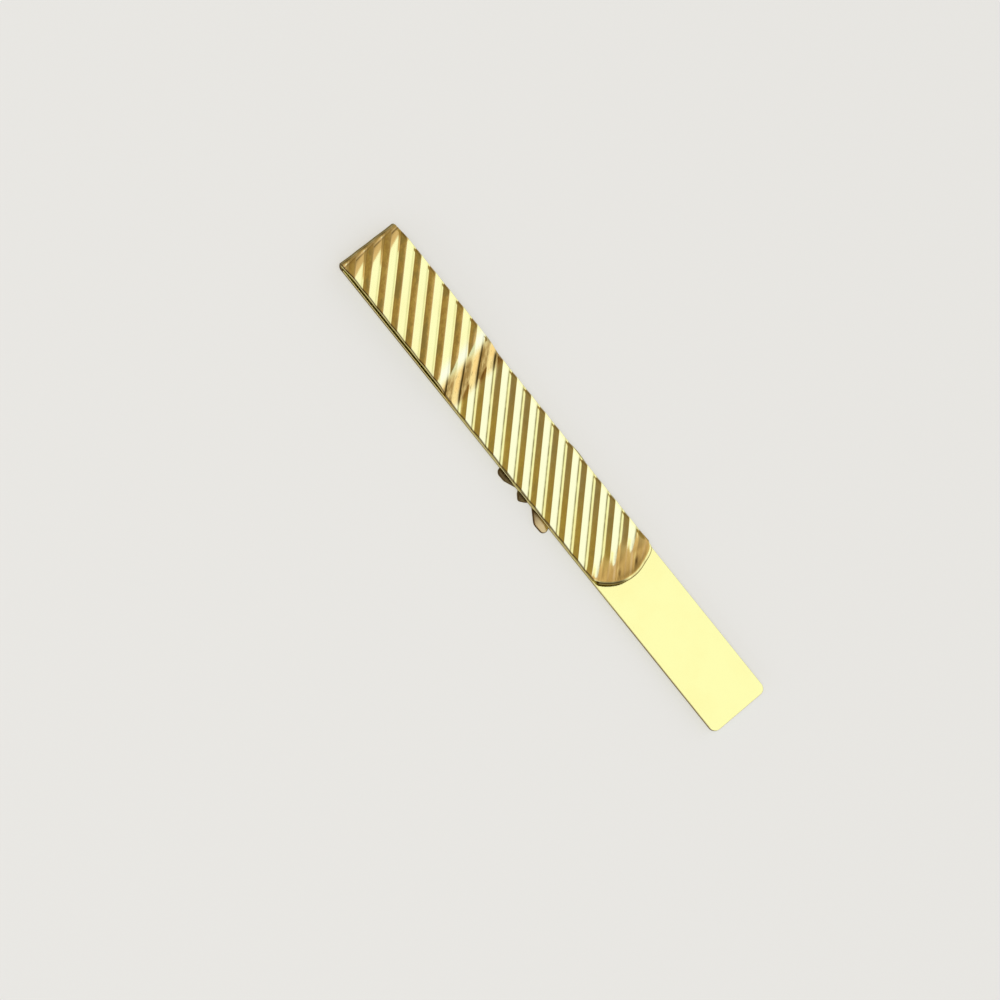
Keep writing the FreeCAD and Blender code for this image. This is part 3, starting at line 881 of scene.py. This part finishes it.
goldLook = {
    "Pale": (1.0, 0.95, 0.44, 1.0),
    "Deep": (1.0, 0.88, 0.37, 1.0),
    "Mottle": 0.6,
    "Gloss": 0.07,
    "Hairlines": 0.5,
}
goldRim = (0.35, 0.27, 0.15, 1.0)
bumpHeight = 0.000004
tints = {
    # grime and painted shade in the creases, under the tip and in the streaks on the step
    "grimeAndShade": (0.085, 0.047, 0.009, 1.0),
    # painted shade along the tongue's edges
    "edgeShade": (0.18, 0.13, 0.06, 1.0),
    # painted shade on the bar's cut edges
    "barEdgeShade": (0.45, 0.39, 0.27, 1.0),
    # worn plate and painted shade
    "wornPlateAndShade": (0.50, 0.37, 0.15, 1.0),
    "stepOchre": (0.98, 0.74, 0.31, 1.0),
    "stepBrown": (0.38, 0.23, 0.065, 1.0),
    # dark spots near the tip, and painted shade under the lip and along the step's creases
    "deepShade": (0.055, 0.032, 0.005, 1.0),
    # painted highlight
    "glintPale": (1.0, 0.98, 0.78, 1.0),
    # pale plate on the ridges and falling faces, and the painted highlight on the nick
    "creamPlateAndGlint": (1.0, 0.97, 0.64, 1.0),
    # painted shade on the rising faces
    "risingShadePlate": (0.72, 0.60, 0.27, 1.0),
    # painted shade on the ornament's back, and painted light on a patch of it
    "castShade": (0.075, 0.041, 0.017, 1.0),
    "castLitPatch": (0.66, 0.50, 0.27, 1.0),
    "olivePlate": (0.60, 0.62, 0.34, 1.0),
    "greyOlive": (0.76, 0.80, 0.53, 1.0),
    "goldOlive": (0.97, 0.98, 0.36, 1.0),
}
# soft irregular masks: size of the patches in millimetres, ramp on the noise, least and most share
patches = {
    # uneven patches of the painted shade on the rising faces
    "unevenShade": ((0.8, 0.4, 0.4), (0.4, 0.64), (0.0, 0.6)),
    "olivePatches": ((4.0, 2.0, 2.0), (0.5, 0.64), (0.0, 0.8)),
    "streaked": ((2.0, 0.35, 1.0), (0.36, 0.6), (0.3, 1.0)),
    "brushed": ((1.6, 0.25, 0.6), (0.3, 0.5), (0.75, 1.0)),
    "smudged": ((1.4, 0.4, 0.6), (0.3, 0.6), (0.45, 1.0)),
    "lined": ((1.0, 0.2, 0.6), (0.53, 0.68), (0.0, 0.45)),
    "caught": ((2.0, 2.0, 2.0), (0.3, 0.6), (0.55, 0.9)),
    "barUneven": ((2.0, 2.0, 2.0), (0.35, 0.6), (0.94, 1.0)),
    "castUneven": ((2.4, 2.4, 2.4), (0.35, 0.65), (0.9, 1.0)),
}
patchNoise = {"in_Scale": 1.0, "in_Detail": 4.0, "in_Roughness": 0.6}
# the tongue's colours, laid one over the other: mask, share of it and tint; several of them are painted shade
# or painted highlights
tongueLayers = (
    ("pale", 1.0, "creamPlateAndGlint"),
    ("golden", 0.8, "goldOlive"),
    ("olive", 1.0, "greyOlive"),
    ("risingShade", "unevenShade", "risingShadePlate"),
    ("risingShade", "olivePatches", "olivePlate"),
    ("stepGlint", 0.9, "glintPale"),
    ("wornAndShade", "streaked", "wornPlateAndShade"),
    ("ochre", "brushed", "stepOchre"),
    ("brown", "smudged", "stepBrown"),
    ("ochre", "lined", "grimeAndShade"),
    ("edge", 1.0, "edgeShade"),
    ("crease", "caught", "grimeAndShade"),
    ("shade", 1.0, "deepShade"),
)
# the ornament's back in metres: painted shade towards the back, less of it on the upper petal, and painted
# light on a patch of the flat back
casting = {
    "deep": (0.00035, 0.0007),
    "upper": (0.003, 0.0045),
    "upperShare": (1.0, 0.75),
    "litPatch": (0.0014, 0.0042),
    "flatBack": (0.00093, 0.00097),
}


def platedMaterial(name, look):
    material = bpy.data.materials.new(name)
    material.use_nodes = True
    tree = material.node_tree
    shader = tree.nodes["Principled BSDF"]
    shader.inputs["Metallic"].default_value = 1.0
    shader.inputs["Specular Tint"].default_value = goldRim
    skin = node(tree, "ShaderNodeGroup", node_tree=platedSkin)
    for key, value in look.items():
        skin.inputs[key].default_value = value
    bump = node(
        tree, "ShaderNodeBump", in_Strength=1.0, in_Distance=bumpHeight, in_Height=skin.outputs["Height"],
    )
    feed(tree, bump.outputs["Normal"], shader.inputs["Normal"])
    feed(tree, skin.outputs["Roughness"], shader.inputs["Roughness"])
    return material, tree, shader, skin.outputs["Color"]


def patchy(tree, name):
    # long patches lie along the ribs
    spread, ends, gives = patches[name]
    turn = -math.pi / 4 if spread[0] > spread[1] else 0.0
    stretched = node(
        tree, "ShaderNodeMapping", vector_type="TEXTURE", in_Vector=placeOf(tree),
        in_Rotation=(0.0, 0.0, turn), in_Scale=[size * mm for size in spread],
    )
    cloud = node(tree, "ShaderNodeTexNoise", in_Vector=stretched.outputs["Vector"], **patchNoise)
    return ramp(tree, cloud.outputs["Fac"], ends, gives)


def tongueMaterial():
    material, tree, shader, colour = platedMaterial("ribbed_gold_plate", goldLook)
    for mask, share, tint in tongueLayers:
        if isinstance(share, str):
            share = patchy(tree, share)
        colour = mixIn(tree, times(tree, attribute(tree, mask), share), colour, tints[tint])
    feed(tree, colour, shader.inputs["Base Color"])
    return material


def barMaterial():
    look = {**goldLook, "Mottle": 0.35, "Hairlines": 0.3}
    material, tree, shader, colour = platedMaterial("plain_gold_plate", look)
    # painted shade on the cut edges
    edge = times(tree, attribute(tree, "cutEdgeShade"), patchy(tree, "barUneven"))
    feed(tree, mixIn(tree, edge, colour, tints["barEdgeShade"]), shader.inputs["Base Color"])
    return material


def flowerMaterial():
    # gilt on the raised front, with painted shade towards the back and painted light on a patch of the flat
    # back
    look = {**goldLook, "Gloss": 0.16, "Mottle": 0.9}
    material, tree, shader, colour = platedMaterial("cast_gold_plate", look)
    axes = axesOf(tree, placeOf(tree))
    # painted shade towards the back
    hollow = times(tree, ramp(tree, axes["Z"], casting["deep"]), patchy(tree, "castUneven"))
    hollow = times(tree, hollow, ramp(tree, axes["Y"], casting["upper"], casting["upperShare"]))
    colour = mixIn(tree, hollow, colour, tints["castShade"])
    # painted light on a patch of the flat back
    litPatch = times(tree, ramp(tree, axes["X"], casting["litPatch"]), ramp(tree, axes["Z"], casting["flatBack"]))
    feed(tree, mixIn(tree, litPatch, colour, tints["castLitPatch"]), shader.inputs["Base Color"])
    return material


def pinMaterial():
    look = {**goldLook, "Pale": (0.86, 0.66, 0.33, 1.0), "Deep": (0.7, 0.5, 0.22, 1.0), "Gloss": 0.22}
    material, tree, shader, colour = platedMaterial("filed_pin_brass", look)
    feed(tree, colour, shader.inputs["Base Color"])
    return material


tongue = makeTongue(tongueMaterial())
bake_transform(tongue)
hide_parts("grip_tongue", "hairpin_bend")
barPiece = makeBar(barMaterial())
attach(barPiece, "bar")
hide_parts("face_bar")
flowerPiece = makeFlower(flowerMaterial())
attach(flowerPiece, "bar")
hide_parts("ornament")
pinPiece = makePins(pinMaterial())
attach(pinPiece, "bar")
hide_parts("ornament_pins")
print("pieces ride on their bodies")

# floor, light and camera
stage = {
    "floorRadius": 1.6,
    "floorCuts": 96,
    "floorDrop": 0.00005,
    "floor": (0.74, 0.752, 0.775, 1.0),
    "floorRough": 0.9,
    "floorShine": 0.1,
    "paper": (0.80, 0.79, 0.755, 1.0),  # the backdrop's own tone, mixed in by this share
    "paperShare": 0.55,
    "lampPower": 5.0,
    "lampSize": 0.6,
    "lampAt": (0.0, -0.3, 1.06),
}
# tones that the metal mirrors, and where one gives way to the next by direction
room = {
    "bright": (1.0, 1.04, 1.03, 1.0),
    "dark": (0.35, 0.236, 0.10, 1.0),
    "tan": (0.68, 0.49, 0.33, 1.0),
    "farTan": (0.38, 0.27, 0.16, 1.0),
    "warm": (1.0, 0.95, 0.85, 1.0),
    "horizon": (0.80, 0.80, 0.80, 1.0),
    "tanFrom": (-0.52, -0.3),
    "darkTo": (-0.02, 0.1),
    "opening": (0.8, 0.6, 0.0),
    "openingFrom": (-0.16, -0.08),
    "openingX": (-0.17, -0.1),
    "warmX": (0.52, 0.68),
    "warmY": (0.1, 0.25),
    "nearBright": (-0.65, -0.8),
    "horizonTo": (0.08, 0.26),
}
cameraLook = {
    "tilt": 16.0,  # degrees off straight down, towards -Y
    "roll": 51.23,  # the bar runs down to the right
    "pixelsPerMm": 7.5,
    "middleAt": (553.5, 477.4),  # where the middle of the bar falls in the picture
    "picture": 1000.0,
    "distance": 0.42,
    "sensor": 36.0,
    "clip": (0.01, 20.0),
}


def makeFloor():
    bm = bmesh.new()
    bmesh.ops.create_circle(bm, cap_ends=True, segments=stage["floorCuts"], radius=stage["floorRadius"])
    bmesh.ops.translate(bm, verts=bm.verts[:], vec=(0.0, 0.0, -stage["floorDrop"]))
    mesh = bpy.data.meshes.new("floor")
    bm.to_mesh(mesh)
    bm.free()
    floor = bpy.data.objects.new("floor", mesh)
    bpy.context.collection.objects.link(floor)
    paper = bpy.data.materials.new("pale_paper")
    paper.use_nodes = True
    tree = paper.node_tree
    shader = tree.nodes["Principled BSDF"]
    shader.inputs["Base Color"].default_value = stage["floor"]
    shader.inputs["Roughness"].default_value = stage["floorRough"]
    shader.inputs["Specular IOR Level"].default_value = stage["floorShine"]
    seen = node(tree, "ShaderNodeLightPath").outputs
    shown = seen["Is Camera Ray"]
    for name in ("Is Glossy Ray", "Is Transmission Ray"):
        either = node(tree, "ShaderNodeMath", operation="MAXIMUM", in_0=shown, in_1=seen[name])
        shown = either.outputs["Value"]
    pale = node(tree, "ShaderNodeEmission", in_Color=stage["paper"], in_Strength=1.0)
    lit = node(
        tree, "ShaderNodeMixShader", in_0=times(tree, shown, stage["paperShare"]),
        in_1=shader.outputs["BSDF"], in_2=pale.outputs["Emission"],
    )
    feed(tree, lit.outputs["Shader"], tree.nodes["Material Output"].inputs["Surface"])
    mesh.materials.append(paper)


def makeRoom():
    world = bpy.data.worlds.new("room")
    bpy.context.scene.world = world
    world.use_nodes = True
    tree = world.node_tree
    place = placeOf(tree, "Generated")
    x, y, z = (axesOf(tree, place)[name] for name in "XYZ")
    facing = node(tree, "ShaderNodeVectorMath", operation="DOT_PRODUCT", in_0=place, in_1=room["opening"])
    shade = mixIn(tree, ramp(tree, x, room["tanFrom"]), room["farTan"], room["tan"])
    shade = mixIn(tree, ramp(tree, y, room["darkTo"]), room["dark"], shade)
    opening = ramp(tree, facing.outputs["Value"], room["openingFrom"])
    opening = times(tree, opening, ramp(tree, x, room["openingX"]))
    tone = mixIn(tree, opening, shade, room["bright"])
    warm = times(tree, ramp(tree, x, room["warmX"]), ramp(tree, y, room["warmY"]))
    tone = mixIn(tree, warm, tone, room["warm"])
    tone = mixIn(tree, ramp(tree, y, room["nearBright"]), tone, room["bright"])
    tone = mixIn(tree, ramp(tree, z, room["horizonTo"]), room["horizon"], tone)
    feed(tree, tone, tree.nodes["Background"].inputs["Color"])


def makeLamp():
    light = bpy.data.lights.new("soft_box", "AREA")
    light.energy = stage["lampPower"]
    light.size = stage["lampSize"]
    lamp = bpy.data.objects.new("soft_box", light)
    lamp.location = stage["lampAt"]
    lamp.rotation_euler = (-Vector(stage["lampAt"])).to_track_quat("-Z", "Y").to_euler()
    lamp.visible_glossy = False  # the room alone shows in the metal
    bpy.context.collection.objects.link(lamp)


def makeCamera():
    tilt, roll = math.radians(cameraLook["tilt"]), math.radians(cameraLook["roll"])
    back = Vector((0.0, -math.sin(tilt), math.cos(tilt)))
    alongBar = Vector((1.0, 0.0, 0.0))
    overBar = Vector((0.0, math.cos(tilt), math.sin(tilt)))
    right = alongBar * math.cos(roll) + overBar * math.sin(roll)
    up = overBar * math.cos(roll) - alongBar * math.sin(roll)
    scale = mm / cameraLook["pixelsPerMm"]
    halfPicture = cameraLook["picture"] / 2.0
    aside = (cameraLook["middleAt"][0] - halfPicture) * scale
    above = (halfPicture - cameraLook["middleAt"][1]) * scale
    target = Vector((0.0, 0.0, fold["gripMid"] * mm)) - right * aside - up * above
    data = bpy.data.cameras.new("camera")
    data.sensor_width = cameraLook["sensor"]
    data.lens = cameraLook["sensor"] * cameraLook["distance"] / (cameraLook["picture"] * scale)
    data.clip_start, data.clip_end = cameraLook["clip"]
    camera = bpy.data.objects.new("camera", data)
    camera.location = target + back * cameraLook["distance"]
    camera.rotation_euler = Matrix((right, up, back)).transposed().to_euler()
    bpy.context.collection.objects.link(camera)
    bpy.context.scene.camera = camera


makeFloor()
makeRoom()
makeLamp()
makeCamera()
bpy.context.scene.view_settings.view_transform = "Standard"
print("stage, light and camera set")
